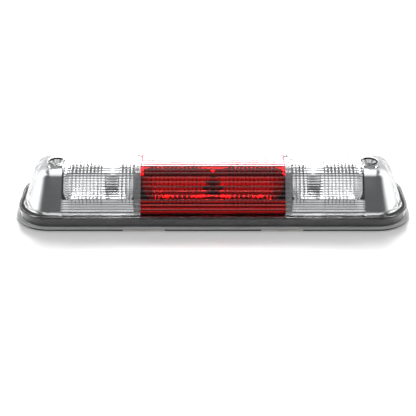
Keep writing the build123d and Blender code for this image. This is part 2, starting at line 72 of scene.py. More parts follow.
# ------------------------------------------------------------------ driving sizes, mm
(_, _, LIP_LOW), (LIP_HALF_X, LIP_HALF_Y, _) = cad("outer_lens")
(_, _, SEAL_LOW), (HOUSING_HALF_X, HOUSING_HALF_Y, FLANGE_LOW) = cad("lens_seal")
LIP_TOP, LIP_CORNER, LIP_ROUND = 2.7, 35.8, 0.3
SKIRT_HALF_X, SKIRT_HALF_Y, SKIRT_CORNER = LIP_HALF_X - 3.3, LIP_HALF_Y - 3.5, 32.5
SKIRT_WALL, SKIRT_ROUND = 1.8, 0.9
HOUSING_CORNER = 30.5
SEAL_HALF_X, SEAL_HALF_Y, SEAL_CORNER = 186.9, 39.2, 27.7
GASKET = (189.0, 42.5, 30.0, 7.0, cad("mounting_gasket")[1][2])   # half sizes, corner, width, height
FLAP_OUT, FLAP_HIGH = 5.5, 1.3            # its flap under the lip; its black foam is partly the gasket and partly painted shade, standing for the contact shadow in the gap under the lip

DOME_BASE, DOME_TOP = FLANGE_LOW + 2.0, 48.9
DOME_HALF_X, DOME_HALF_Y, DOME_CORNER = 187.2, 39.5, 28.0
SLOPE = {"front": (50.0, 18.0), "back": (70.0, 16.0), "end": (70.0, 15.0)}    # degrees, roll radius
LENS_WALL = 2.5

RIB_TOP, RIB_ROLL, RIB_RAISE, RIB_START_Z, RIB_END_Y = 50.4, 14.0, 1.5, 15.0, 17.0
RIB_FOOT_Z, RIB_MEET_Z = 14.0, 48.2       # where the fluted block leaves the dome, front and back
COARSE = (16, 0.42)                       # flutes along the crest line, their depth
FINE = (32, 0.3)
BEADS = (16, 1.0)                         # the coarse flutes' deeper run beside the red window
STOP_HALF_X, STRIP_HALF_X, BLOCK_HALF_X = 70.4, 76.5, 147.3
SEAM = 0.02                               # half the joint between the red and the clear plastic

SCREW_X, SCREW_Y = 155.0, 6.0
LENS_HOLE, COLLAR, TOWER_TOP = 6.8, 8.5, 32.0

BEZEL_OUT, BEZEL_IN, BEZEL_GAP = 3.7, 5.2, 0.6
WINDOW_HALF_X, WINDOW_Y, WINDOW_Z = 147.6, 19.0, 22.0
BEZEL_FIT, BEZEL_RIM_HIGH = 0.3, 10.9
FUNNEL_LOW, FUNNEL_RADIUS = 42.0, 12.3    # the bezel's dimple round each screw well
STEPS, NOSING = 6, 0.03                   # steps behind the red window, how far each nosing is sunk
TREAD, RISER = math.radians(28.0), math.radians(70.0)

BOWL_FLOOR, BOWL_WALL, BOWL_RIM = 21.5, 1.5, 41.0
BOWL_BACK, BOWL_ROLL = 18.0, 20.0
BOWL_STEPS, DRAFT = 12, 0.02              # mesh steps each way, how far the end walls lean out
FLUTE_PITCH, FLUTE_DEPTH, PLAIN_HALF = 3.6, 0.35, 12.0
FLUTE_MARGIN = 7.0                        # plain stretch at each end of a window's upright flutes
FLUTE_STEPS = 6                           # mesh steps across a flute
BULBS = {"stop": 0.0, "cargo_left": -100.0, "cargo_right": 100.0}
BOWLS = {"stop": (-68.5, 68.5, 16.0), "cargo_left": (-144.5, -78.0, 9.0),
         "cargo_right": (78.0, 144.5, 9.0)}
BULB_Y = -2.0
SOCKET_HOLE = 10.2


# ------------------------------------------------------------------ mesh building
class Solid:
    """Points in mm and the faces between them, welded into one Blender mesh by build()."""

    def __init__(self):
        self.points, self.faces, self.outside = [], [], None

    def grid(self, rows, closed=False, wrap=False, gap=None):
        """Quads between neighbouring rows of equal length.  closed joins each row's ends, wrap the rows.
        gap(i, j) says where a quad is left out."""
        start, width = len(self.points), len(rows[0])
        for row in rows:
            self.points += row
        for i in range(len(rows) if wrap else len(rows) - 1):
            for j in range(width if closed else width - 1):
                if gap and gap(i, j):
                    continue
                below, above = start + i * width, start + (i + 1) % len(rows) * width
                right = (j + 1) % width
                self.faces.append((below + j, below + right, above + right, above + j))

    def face(self, ring):
        start = len(self.points)
        self.points += ring
        self.faces.append(tuple(range(start, start + len(ring))))

    def cavity(self):
        """The faces so far bound the outside; those that follow bound a hollow inside it."""
        self.outside = len(self.faces)

    def build(self, name, sharp=35.0):
        """Blender object, smooth but for edges over sharp degrees."""
        bm = bmesh.new()
        split = len(self.faces) if self.outside is None else self.outside
        for faces, hollow in ((self.faces[:split], False), (self.faces[split:], True)):
            verts, made = {}, []
            for face in faces:
                for i in face:
                    if i not in verts:
                        verts[i] = bm.verts.new([c * MM for c in self.points[i]])
                made.append(bm.faces.new([verts[i] for i in face]))
            bmesh.ops.remove_doubles(bm, verts=list(verts.values()), dist=WELD * MM)
            made = [face for face in made if face.is_valid]
            bmesh.ops.recalc_face_normals(bm, faces=made)
            if hollow:
                bmesh.ops.reverse_faces(bm, faces=made)
        mesh = bpy.data.meshes.new(name)
        bm.to_mesh(mesh)
        bm.free()
        return finished(bpy.data.objects.new(name, mesh), sharp)


def finished(obj, sharp=35.0):
    """Links a new object and sets its shading: smooth, sharp over that angle, led by its large faces."""
    if obj.name not in bpy.context.scene.collection.objects:
        bpy.context.scene.collection.objects.link(obj)
    obj.data.shade_smooth()
    obj.data.set_sharp_from_angle(angle=math.radians(sharp))
    leading = obj.modifiers.new("normals led by large faces", "WEIGHTED_NORMAL")
    leading.keep_sharp = True
    leading.weight = 80
    return obj


def carve(obj, tool, operation):
    """obj joined with, or cut by, the solid tool, which is used up."""
    obj.modifiers.clear()
    tool.modifiers.clear()
    cut = obj.modifiers.new(operation, "BOOLEAN")
    cut.operation, cut.solver, cut.object = operation, "EXACT", tool
    bpy.context.view_layer.update()
    mesh = bpy.data.meshes.new_from_object(obj.evaluated_get(bpy.context.evaluated_depsgraph_get()))
    obj.modifiers.clear()
    obj.data = mesh
    bpy.data.objects.remove(tool)


def disc(x, y, z, radius, steps=64):
    """Ring of points about a vertical line."""
    turns = [2 * math.pi * k / steps for k in range(steps)]
    return [(x + radius * math.cos(t), y + radius * math.sin(t), z) for t in turns]


def lathe(solid, x, y, profile, steps=64):
    """Closed body of revolution about a vertical line from (radius, z) points; its end radii are capped."""
    rings = [disc(x, y, z, radius, steps) for radius, z in profile]
    solid.grid(rings, closed=True)
    solid.face(rings[0])
    solid.face(rings[-1])


def turned(x, y, profile):
    """Solid turned about a vertical line from (radius, z) points, for joining or cutting."""
    solid = Solid()
    lathe(solid, x, y, profile)
    return solid.build("tool")


def rod(x, y, radius, low, high):
    """Upright cylinder, for joining or cutting."""
    return turned(x, y, ((radius, low), (radius, high)))


def block(low, high):
    """Upright box between two corners, for cutting."""
    rings = [[(low[0], low[1], z), (high[0], low[1], z), (high[0], high[1], z), (low[0], high[1], z)]
             for z in (low[2], high[2])]
    solid = Solid()
    solid.grid(rings, closed=True)
    solid.face(rings[0])
    solid.face(rings[1])
    return solid.build("tool")


def tube(solid, path, radius, steps=12):
    """Round wire along a list of points."""
    rings = []
    for i, point in enumerate(path):
        before, after = path[max(i - 1, 0)], path[min(i + 1, len(path) - 1)]
        along = unit([b - a for a, b in zip(before, after)])
        u = unit(crossed(along, (0.0, 1.0, 0.0) if abs(along[1]) < 0.9 else (1.0, 0.0, 0.0)))
        v = crossed(along, u)
        turns = [2 * math.pi * k / steps for k in range(steps)]
        rings.append([tuple(p + radius * (math.cos(t) * a + math.sin(t) * b) for p, a, b in zip(point, u, v))
                      for t in turns])
    solid.grid(rings, closed=True)
    solid.face(rings[0])
    solid.face(rings[-1])


def unit(v):
    """The vector's direction."""
    size = math.sqrt(sum(c * c for c in v))
    return [c / size for c in v]


def crossed(a, b):
    """Cross product."""
    return [a[1] * b[2] - a[2] * b[1], a[2] * b[0] - a[0] * b[2], a[0] * b[1] - a[1] * b[0]]


def placed(piece, body, slot, *nodes):
    """Rides the piece on its body, gives it the record's slot and hides the CAD nodes it stands for."""
    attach(piece, body)
    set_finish(piece, slot)
    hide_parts(*nodes)
    return piece


# ------------------------------------------------------------------ outlines
ARC_STEPS, END_STEPS = 16, 4


def arc(x, y, radius, degrees):
    """Point on a circle about (x, y)."""
    return x + radius * math.cos(math.radians(degrees)), y + radius * math.sin(math.radians(degrees))


def end_run(section, z, start=BLOCK_HALF_X):
    """The right-hand end of a rounded outline, from the front at x = start round to the back."""
    half_x, front, back, corner = section
    centre = half_x - corner
    run = [(start, front), ((start + centre) / 2, front)]
    run += [arc(centre, front + corner, corner, 90 * k / ARC_STEPS - 90) for k in range(ARC_STEPS + 1)]
    run += [(half_x, front + corner + (back - front - 2 * corner) * k / END_STEPS)
            for k in range(1, END_STEPS)]
    run += [arc(centre, back - corner, corner, 90 * k / ARC_STEPS) for k in range(ARC_STEPS + 1)]
    run += [((start + centre) / 2, back), (start, back)]
    return [(x, y, z) for x, y in run]


def mirrored(points):
    return [(-x, y, z) for x, y, z in points]


def loop(section, z, stations):
    """A whole rounded outline; stations are the x values that it has along its front and its back."""
    _, front, back, _ = section
    end = end_run(section, z, stations[-1])
    right = [(x, front, z) for x in stations] + end[1:-1]
    left = [(x, back, z) for x in reversed(stations)] + mirrored(reversed(end))[1:-1]
    return right + left


def centred(half_x, half_y, corner):
    """(half length, front y, back y, corner radius) of an outline centred on the origin."""
    return half_x, -half_y, half_y, corner


# ------------------------------------------------------------------ the dome
def wall_run(kind, inset, z):
    """How far a dome wall, inset mm inside the outer face, has moved in from its base line at height z."""
    degrees, radius = SLOPE[kind]
    slope, bend, top = math.radians(degrees), radius - inset, DOME_TOP - inset
    bend_z = top - bend * (1 - math.cos(slope))
    start = inset / math.sin(slope)
    if z <= bend_z:
        return start + (z - DOME_BASE) / math.tan(slope)
    centre = start + (bend_z - DOME_BASE) / math.tan(slope) + bend * math.sin(slope)
    return centre - math.sqrt(max(bend**2 - (z - top + bend) ** 2, 0))


def dome_section(z, inset):
    """(half length, front y, back y, corner radius) of the dome at height z."""
    z = max(z, DOME_BASE)
    front = wall_run("front", inset, z) - DOME_HALF_Y
    back = DOME_HALF_Y - wall_run("back", inset, z)
    corner = DOME_CORNER * ((back - front) / (2 * DOME_HALF_Y)) ** 0.9
    return DOME_HALF_X - wall_run("end", inset, z), front, back, corner


def dome_levels(inset, marks=()):
    """Heights from the base to the top, close together where the walls roll over."""
    degrees, radius = SLOPE["back"]
    top, bend, steps = DOME_TOP - inset, radius - inset, 18
    rolled = [top - bend * (1 - math.cos(math.radians(degrees * (1 - k / steps)))) for k in range(steps + 1)]
    straight = [DOME_BASE + (rolled[0] - DOME_BASE) * k / 6 for k in range(6)]
    levels = [z for z in straight + rolled if all(abs(z - mark) > 0.12 for mark in marks)]
    return sorted(levels + list(marks))


OUTER_LEVELS = dome_levels(0.0, (RIB_FOOT_Z, RIB_MEET_Z))
INNER_LEVELS = dome_levels(LENS_WALL)


def dome_end(solid, inset, levels, side, start=BLOCK_HALF_X):
    """A rounded end of the dome with its flat top."""
    rings = [end_run(dome_section(z, inset), z, start) for z in levels]
    if side < 0:
        rings = [mirrored(ring) for ring in rings]
    solid.grid(rings)
    solid.face(rings[-1])
    return rings


# ------------------------------------------------------------------ the fluted block
RIB_SLOPE = math.radians(SLOPE["front"][0])
RIB_BEND_Z = RIB_TOP - RIB_ROLL * (1 - math.cos(RIB_SLOPE))
RIB_FACE = (RIB_BEND_Z - RIB_START_Z) / math.sin(RIB_SLOPE)
RIB_START_Y = ((RIB_START_Z - DOME_BASE) / math.tan(RIB_SLOPE) - RIB_RAISE / math.sin(RIB_SLOPE)
               - DOME_HALF_Y)
RIB_CENTRE_Y = RIB_START_Y + RIB_FACE * math.cos(RIB_SLOPE) + RIB_ROLL * math.sin(RIB_SLOPE)
RIB_LENGTH = RIB_FACE + RIB_ROLL * RIB_SLOPE + RIB_END_Y - RIB_CENTRE_Y
RIB_SAMPLES = 256                         # along the crest line: 16 to a coarse flute, 8 to a fine one


def crest(s, lift):
    """(y, z) at s mm along the crest line, lift mm above it: up the front face, over the roll, back."""
    roll = s - RIB_FACE
    if roll <= 0:
        angle, y, z = RIB_SLOPE, RIB_START_Y + s * math.cos(RIB_SLOPE), RIB_START_Z + s * math.sin(RIB_SLOPE)
    elif roll <= RIB_ROLL * RIB_SLOPE:
        angle = RIB_SLOPE - roll / RIB_ROLL
        y, z = RIB_CENTRE_Y - RIB_ROLL * math.sin(angle), RIB_TOP - RIB_ROLL * (1 - math.cos(angle))
    else:
        angle, y, z = 0.0, RIB_CENTRE_Y + roll - RIB_ROLL * RIB_SLOPE, RIB_TOP
    return y - lift * math.sin(angle), z + lift * math.cos(angle)


def pillow(phase, pitch, depth):
    """Height of a round flute over its valleys, phase 0 to 1 across it."""
    radius = (pitch**2 / 4 + depth**2) / (2 * depth)
    return math.sqrt(radius**2 - (pitch * (phase - 0.5)) ** 2) - (radius - depth)


def outer_column(x, flutes, fullness):
    """The fluted block's section at x, from the dome's base over the top and down to its base at the back.
    fullness from 0 to 1 rounds the flutes off towards their ends."""
    count, depth = flutes
    column = [(x, dome_section(z, 0)[1], z) for z in (DOME_BASE, RIB_FOOT_Z)]
    for k in range(RIB_SAMPLES + 1):
        lift = pillow(k * count / RIB_SAMPLES % 1.0, RIB_LENGTH / count, depth) * fullness - depth
        column.append((x, *crest(k * RIB_LENGTH / RIB_SAMPLES, lift)))
    (_, y, z), meet_y = column[-1], dome_section(RIB_MEET_Z, 0)[2]
    column += [(x, y + (meet_y - y) * t, z + (RIB_MEET_Z - z) * t) for t in (1 / 3, 2 / 3)]
    column += [(x, dome_section(z, 0)[2], z) for z in reversed(OUTER_LEVELS) if z <= RIB_MEET_Z]
    return column


def inner_column(x, cut=0.0):
    """The inside face's section at x, from the front base over to the back base.  cut is how far the
    upright flutes of the front cut into the wall there."""
    slope, bend = math.radians(SLOPE["front"][0]), SLOPE["front"][1] - LENS_WALL
    front = []
    for i, z in enumerate(INNER_LEVELS):
        angle = math.acos(max(1 - (DOME_TOP - LENS_WALL - z) / bend, math.cos(slope)))
        depth = cut * min(i / 2, 1.0)     # the lowest two steps run the flutes out
        y = dome_section(z, LENS_WALL)[1]
        front.append((x, y - depth * math.sin(angle), z + depth * math.cos(angle)))
    return front + [(x, dome_section(z, LENS_WALL)[2], z) for z in reversed(INNER_LEVELS)]


def upright_flutes(low, high, pitch, depth, bulb_x, plain):
    """Stations (x, cut) of the flutes inside a window, plain in front of its bulb and at its ends."""
    stations = [(low, 0.0)]
    for start, end in ((low + FLUTE_MARGIN, bulb_x - plain), (bulb_x + plain, high - FLUTE_MARGIN)):
        count = round((end - start) / pitch)
        step = (end - start) / count
        stations.append((start - 0.05, 0.0))
        stations += [(start + k * step / FLUTE_STEPS, depth - pillow(k / FLUTE_STEPS % 1.0, step, depth))
                     for k in range(FLUTE_STEPS * count + 1)]
        stations.append((end + 0.05, 0.0))
    return stations + [(high, 0.0)]


def zone(low, high, flutes, round_off):
    """Stations (x, flutes, fullness) of one run of flutes whose ends round off over round_off mm."""
    turns = [math.radians(22.5 * k) for k in range(5)]
    rise = [(round_off * (1 - math.cos(t)), math.sin(t)) for t in turns]
    return ([(low + step, flutes, full) for step, full in rise]
            + [(high - step, flutes, full) for step, full in reversed(rise)])


RED_STATIONS = zone(-STOP_HALF_X + SEAM, STOP_HALF_X - SEAM, COARSE, 1.4)
STRIP_MIDDLE = (STOP_HALF_X + STRIP_HALF_X) / 2
CLEAR_STATIONS = (zone(STOP_HALF_X + SEAM, STRIP_MIDDLE, BEADS, 1.4)
                  + zone(STRIP_MIDDLE, STRIP_HALF_X, BEADS, 1.4)
                  + zone(STRIP_HALF_X, BLOCK_HALF_X, FINE, 0.9))
CLEAR_X = [x for x, _, _ in CLEAR_STATIONS]
LENS_X = [-x for x in reversed(CLEAR_X)] + [0.0] + CLEAR_X
RED_FLUTES = upright_flutes(SEAM - STOP_HALF_X, STOP_HALF_X - SEAM, 3.85, 0.75, 0.0, 12.0)
CLEAR_FLUTES = upright_flutes(CLEAR_X[0], BLOCK_HALF_X, 3.5, 0.6, BULBS["cargo_right"], 8.5)


def skirt_rows():
    """Outlines from the cavity's mouth under the flange, down inside the skirt, round the lip and up."""
    def at(z, grow=0.0, base=(SKIRT_HALF_X, SKIRT_HALF_Y, SKIRT_CORNER)):
        return loop(centred(*(size + grow for size in base)), z, LENS_X)
    lip = (LIP_HALF_X, LIP_HALF_Y, LIP_CORNER)
    turns = [math.radians(22.5 * k) for k in range(5)]
    rows = [loop(dome_section(DOME_BASE, LENS_WALL), z, LENS_X) for z in (DOME_BASE, FLANGE_LOW)]
    rows += [at(FLANGE_LOW, -SKIRT_WALL), at(LIP_LOW, -SKIRT_WALL)]
    rows += [at(LIP_LOW + LIP_ROUND * (1 - math.cos(t)), LIP_ROUND * (math.sin(t) - 1), lip) for t in turns]
    rows += [at(LIP_TOP - LIP_ROUND * (1 - math.sin(t)), LIP_ROUND * (math.cos(t) - 1), lip) for t in turns]
    rows += [at(LIP_TOP)]
    shoulder = DOME_BASE - SKIRT_ROUND
    rows += [at(shoulder + SKIRT_ROUND * math.sin(t), SKIRT_ROUND * (math.cos(t) - 1)) for t in turns]
    return rows + [loop(dome_section(DOME_BASE, 0), DOME_BASE, LENS_X)]


def clear_cover():
    """Clear moulding: domed ends, fluted cargo windows and strips, flange, skirt and lip."""
    solid = Solid()
    rows = skirt_rows()

    def under_window(i, j):
        """Whether a quad lies in the flange below a cargo window, which faces of its own fill."""
        ends = [rows[0][k % len(rows[0])] for k in (j, j + 1)]
        return i == 0 and all(CLEAR_X[0] <= abs(x) <= BLOCK_HALF_X and abs(x) > abs(y) for x, y, _ in ends)
    solid.grid(rows, closed=True, gap=under_window)
    middle = [x for x in LENS_X if abs(x) <= CLEAR_X[0]]
    for edge in (1, 2):                   # the flange under the red window, front and back
        solid.grid([[(x, dome_section(DOME_BASE, inset)[edge], DOME_BASE) for x in middle]
                    for inset in (0, LENS_WALL)])
    for side in (-1, 1):
        outer = [outer_column(side * x, *rest) for x, *rest in CLEAR_STATIONS]
        inner = [inner_column(side * x, cut) for x, cut in CLEAR_FLUTES]
        solid.grid(outer)
        solid.grid(inner)
        for edge, foot in ((1, 0), (2, -1)):
            y = dome_section(DOME_BASE, LENS_WALL)[edge]
            rim = [(side * x, y, FLANGE_LOW) for x in CLEAR_X]
            solid.face(rim + [column[foot] for column in inner[::-1]])
        solid.face(outer[0] + inner[0][::-1])
        over = [p for p in outer[-1][1:] if p[1] < 0 or p[2] >= RIB_MEET_Z]
        x, levels = side * BLOCK_HALF_X, [z for z in OUTER_LEVELS if z > RIB_FOOT_Z]
        under = [(x, dome_section(z, 0)[1], z) for z in levels]
        under += [(x, dome_section(z, 0)[2], z) for z in reversed(levels) if z > RIB_MEET_Z]
        solid.face(over + under[::-1])
        dome_end(solid, 0.0, OUTER_LEVELS, side)
        dome_end(solid, LENS_WALL, INNER_LEVELS, side)
    cover = solid.build("clear_cover")
    for side in (-1, 1):
        x = side * SCREW_X
        carve(cover, rod(x, SCREW_Y, COLLAR, TOWER_TOP, DOME_TOP - LENS_WALL / 2), "UNION")
        carve(cover, rod(x, SCREW_Y, LENS_HOLE, TOWER_TOP - 1, DOME_TOP + 5), "DIFFERENCE")
    return placed(finished(cover), "lamp", "clear_lens", "outer_lens")


def red_window():
    """Red insert, one closed arch with coarse pillow flutes."""
    solid = Solid()
    outer = [outer_column(*station) for station in RED_STATIONS]
    inner = [inner_column(*station) for station in RED_FLUTES]
    solid.grid(outer)
    solid.grid(inner)
    for edge in (0, -1):
        solid.face(outer[edge] + inner[edge][::-1])
        solid.face([column[edge] for column in outer] + [column[edge] for column in reversed(inner)])
    return placed(solid.build("red_window"), "lamp", "red_lens", "stop_lens")


# ------------------------------------------------------------------ seal, gasket, bezel
def band_rows(inner, outer, low, high, round_off, stations):
    """Rows round a flat ring whose section is a rectangle with rounded corners."""
    width = outer[0] - inner[0]
    corners = ((width - round_off, low + round_off, -90), (width - round_off, high - round_off, 0),
               (round_off, high - round_off, 90), (round_off, low + round_off, 180))
    section = [arc(w, z, round_off, turn + 30 * k) for w, z, turn in corners for k in range(4)]
    return [loop(tuple(a + (b - a) * w / width for a, b in zip(inner, outer)), z, stations)
            for w, z in section]


def seal_bead():
    """Black rubber bead between the flange and the housing's shoulder."""
    inner = centred(SEAL_HALF_X, SEAL_HALF_Y, SEAL_CORNER)
    outer = centred(HOUSING_HALF_X, HOUSING_HALF_Y, HOUSING_CORNER)
    solid = Solid()
    solid.grid(band_rows(inner, outer, SEAL_LOW, FLANGE_LOW, 0.5, [-147.0, -70.0, 0.0, 70.0, 147.0]),
               closed=True, wrap=True)
    return placed(solid.build("seal_bead", sharp=60.0), "lamp", "seal_rubber", "lens_seal")


def foam_gasket():
    """Foam ring on the mounting face with a flap under the lip, notched where the clips pass. The flap's
    black foam is partly painted shade: it stands for the contact shadow in the gap under the lip.
    """
    (clip_low, _, _), (clip_high, hook_y, _) = cad("retaining_clip_right")
    half_x, half_y, corner, width, high = GASKET
    gap, cut, out = 0.3, 0.3, width + FLAP_OUT       # clearance to a clip, cut edges, the flap's edge
    edges = (clip_low - gap, clip_low - gap, clip_high + gap, clip_high + gap)
    stations = [-147.0, *(-x for x in reversed(edges)), *edges, 147.0]
    # the rows out to the flap's edge draw the flap, a dark foam sheet set under the lip as painted shade of
    # the contact shadow there
    section = [(cut, 0.0), (out - cut, 0.0), (out, cut), (out, FLAP_HIGH - cut), (out - cut, FLAP_HIGH),
               (width, FLAP_HIGH), (width, high - cut), (width - cut, high), (cut, high),
               (0.0, high - cut), (0.0, cut)]
    rows = [loop(centred(*(size - width + w for size in (half_x, half_y, corner))), z, stations)
            for w, z in section]
    for row in rows:
        for i in (2, 3, 6, 7):            # the stations between the two faces of each notch
            x, y, z = row[i]
            row[i] = (x, max(y, hook_y + gap), z)
    solid = Solid()
    solid.grid(rows, closed=True, wrap=True)
    return placed(solid.build("foam_gasket", sharp=40.0), "lamp", "gasket_foam", "mounting_gasket")


def back_height(inset):
    """Height of the dome's back wall, inset mm under its face, at the window's rear edge."""
    low, high = DOME_BASE, DOME_TOP - inset
    for _ in range(40):
        middle = (low + high) / 2
        low, high = (middle, high) if dome_section(middle, inset)[2] > WINDOW_Y else (low, middle)
    return low


def moved_to(x, points):
    """The same section at another x."""
    return [(x, y, z) for _, y, z in points]


def stepped(low, high):
    """Points of steps cut into a straight slope from its low end to its high one."""
    (x, y, z), (_, y_high, z_high) = low, high
    slope = math.atan2(z_high - z, y_high - y)
    run = math.hypot(y_high - y, z_high - z) / STEPS
    going = run * math.sin(RISER - slope) / math.sin(RISER - TREAD)
    points = []
    for k in range(STEPS):
        sink = NOSING if k else 0.0
        at_y = y + (y_high - y) * k / STEPS + sink * math.sin(slope)
        at_z = z + (z_high - z) * k / STEPS - sink * math.cos(slope)
        points += [(x, at_y, at_z), (x, at_y + going * math.cos(TREAD), at_z + going * math.sin(TREAD))]
    return points + [high]


def bezel_rings(inset, rear_z):
    """Outlines of the bezel's right-hand end, upwards.  Those of its outer face begin with the rim."""
    foot = dome_section(DOME_BASE, inset)
    sections = [(foot, SEAL_LOW)]
    if inset == BEZEL_OUT:
        rim = centred(SEAL_HALF_X - BEZEL_FIT, SEAL_HALF_Y - BEZEL_FIT, SEAL_CORNER - BEZEL_FIT)
        sections = [(rim, SEAL_LOW), (rim, BEZEL_RIM_HIGH), (foot, BEZEL_RIM_HIGH)]
    sections += [(dome_section(z, inset), z) for z in dome_levels(inset, (WINDOW_Z, rear_z))]
    return [end_run(section, z, WINDOW_HALF_X) for section, z in sections]


def bright_bezel():
    """Metallised inner cover: the smooth ends, a strip along the back and a low one along the front."""
    solid = Solid()
    rear_heights = [back_height(inset) for inset in (BEZEL_OUT, BEZEL_IN)]
    faces = [bezel_rings(*args) for args in zip((BEZEL_OUT, BEZEL_IN), rear_heights)]
    for side in (-1, 1):
        feet, edges = [], []
        for rings, rear_z in zip(faces, rear_heights):
            rings = [mirrored(ring) if side < 0 else ring for ring in rings]
            solid.grid(rings)
            solid.face(rings[-1])
            feet.append(rings[0])
            edges.append([ring[0] for ring in rings if ring[0][2] >= WINDOW_Z]
                         + [ring[-1] for ring in rings[::-1] if ring[-1][2] >= rear_z])
        solid.grid(feet)
        solid.face(edges[0] + edges[1][::-1])
    outer, inner = ([ring[0] for ring in rings if ring[0][2] <= WINDOW_Z] for rings in faces)
    foot, slope = [p for p in outer if p[2] < DOME_BASE], [p for p in outer if p[2] >= DOME_BASE]
    steps = stepped(slope[0], slope[-1])
    for low, high, front in ((-WINDOW_HALF_X, -STOP_HALF_X, slope), (-STOP_HALF_X, STOP_HALF_X, steps),
                             (STOP_HALF_X, WINDOW_HALF_X, slope)):
        solid.grid([moved_to(x, foot + front + inner[::-1]) for x in (low, high)], closed=True)
    for x in (-STOP_HALF_X, STOP_HALF_X):
        solid.face(moved_to(x, slope + steps[-2:0:-1]))
    outer, inner = ([ring[-1] for ring in rings if ring[-1][2] <= rear_z]
                    for rings, rear_z in zip(faces, rear_heights))
    solid.grid([moved_to(x, outer + inner[::-1]) for x in (-WINDOW_HALF_X, WINDOW_HALF_X)], closed=True)
    bezel = solid.build("bright_bezel")
    for side in (-1, 1):
        x, hole, top = side * SCREW_X, COLLAR + BEZEL_GAP, DOME_TOP - BEZEL_OUT
        carve(bezel, turned(x, SCREW_Y, ((hole + 0.8, FUNNEL_LOW - 0.5), (FUNNEL_RADIUS + 0.6, top - 0.7))),
              "UNION")
        carve(bezel, turned(x, SCREW_Y, ((hole, TOWER_TOP), (hole, FUNNEL_LOW), (FUNNEL_RADIUS, top),
                                         (FUNNEL_RADIUS + 2, top + 2))), "DIFFERENCE")
        ends = sorted((side * BLOCK_HALF_X, side * (BLOCK_HALF_X - 8)))
        carve(bezel, block((ends[0], SCREW_Y - 14, 30), (ends[1], WINDOW_Y - 0.1, top + 1)), "DIFFERENCE")
    return placed(finished(bezel), "lamp", "bright_plating", "chrome_bezel")


# ------------------------------------------------------------------ reflectors
def trough(s, drop, bend):
    """Point and normal s mm down a bowl's end wall and along its floor, from the wall's face and floor."""
    quarter = bend * math.pi / 2
    if s <= drop:
        return 0.0, drop + bend - s, 1.0, 0.0
    if s <= drop + quarter:
        a = (s - drop) / bend
        return bend - bend * math.cos(a), bend - bend * math.sin(a), math.cos(a), math.sin(a)
    return bend + (s - drop - quarter), 0.0, 0.0, 1.0


def bowl_skin(low, high, bend, grow, bulb_x):
    """Grid of a reflector's face, grow mm outside it: columns along Y, then up the rolled back wall."""
    drop = BOWL_RIM - BOWL_FLOOR - bend
    length = 2 * (drop + bend * math.pi / 2) + high - low - 2 * bend
    steps = round(length / FLUTE_PITCH / 2) * 2 * FLUTE_STEPS
    floor, roll, back = BOWL_FLOOR - grow, BOWL_ROLL + grow, BOWL_BACK + grow
    sill = dome_section(WINDOW_Z, BEZEL_IN)[1] + BEZEL_FIT
    rim = math.acos((floor + roll - BOWL_RIM) / roll)
    rows = []
    for k in range(steps + 1):
        start, way = (low, 1) if 2 * k <= steps else (high, -1)
        x, z, nx, nz = trough(min(k, steps - k) * length / steps, drop, bend)
        x, z = start + way * x, BOWL_FLOOR + z
        fluted = not grow and abs(x - bulb_x) >= PLAIN_HALF
        wave = FLUTE_DEPTH * (0.5 - 0.5 * math.cos(2 * math.pi * k / FLUTE_STEPS)) if fluted else 0.0
        x, z = x + way * nx * (wave - grow), min(z + nz * (wave - grow), BOWL_RIM)
        x -= way * DRAFT * max(z - BOWL_FLOOR - bend, 0.0) / (BOWL_RIM - BOWL_FLOOR)
        mitre = math.acos(max(min((floor + roll - z) / roll, 1.0), 0.0))
        y_low = dome_section(z, BEZEL_OUT)[1] + BEZEL_FIT if z > WINDOW_Z + BEZEL_FIT else sill
        y_mitre = back - roll + roll * math.sin(mitre)
        row = [(x, y_low + (y_mitre - y_low) * j / BOWL_STEPS, z) for j in range(BOWL_STEPS + 1)]
        for j in range(1, BOWL_STEPS + 1):
            a = mitre + (rim - mitre) * j / BOWL_STEPS
            y = back - (roll - wave) * (1 - math.sin(a))
            row.append((x, y, max(floor + roll - roll * math.cos(a), z)))
        rows.append(row)
    return rows


def reflector(name, bulb_x):
    """Metallised bowl round one bulb, finely fluted but for a plain stretch in front of the bulb."""
    low, high, bend = BOWLS[name]
    solid = Solid()
    face, under = bowl_skin(low, high, bend, 0.0, bulb_x), bowl_skin(low, high, bend, BOWL_WALL, bulb_x)
    solid.grid(face)
    solid.grid(under)
    solid.grid([[row[0] for row in face], [row[0] for row in under]])
    solid.grid([[row[-1] for row in face], [row[-1] for row in under]])
    solid.grid([face[0], under[0]])
    solid.grid([face[-1], under[-1]])
    bowl = solid.build(f"{name}_bowl")
    carve(bowl, rod(bulb_x, BULB_Y, SOCKET_HOLE, BOWL_FLOOR - 5, BOWL_FLOOR + 5), "DIFFERENCE")
    node = "stop_reflector" if name == "stop" else name.replace("cargo", "cargo_reflector")
    return placed(finished(bowl), "lamp", "bright_plating", node)


# ------------------------------------------------------------------ bulbs
BULB_RADIUS, BULB_WALL, BULB_TOP, BULB_SHOULDER = 7.0, 0.8, 43.0, 25.5
WEDGE_HALF_X, WEDGE_HALF_Y, WEDGE_LOW, WEDGE_HIGH, NECK_STEPS = 5.8, 2.2, 13.2, 22.0, 8
WIRE_RADIUS, WIRE_X, FILAMENT_Z, WIRE_TOP = 0.3, 3.0, 33.0, 20.0
COIL_RADIUS, COIL_WIRE, COIL_TURNS = 0.36, 0.12, 13


def dome_cap(radius, top, steps=10):
    """(radius, z) points of a round crown, from its widest ring to a small one at its top."""
    return [(radius * math.cos(t), top - radius + radius * math.sin(t))
            for t in (math.radians(86 * k / steps) for k in range(steps + 1))]


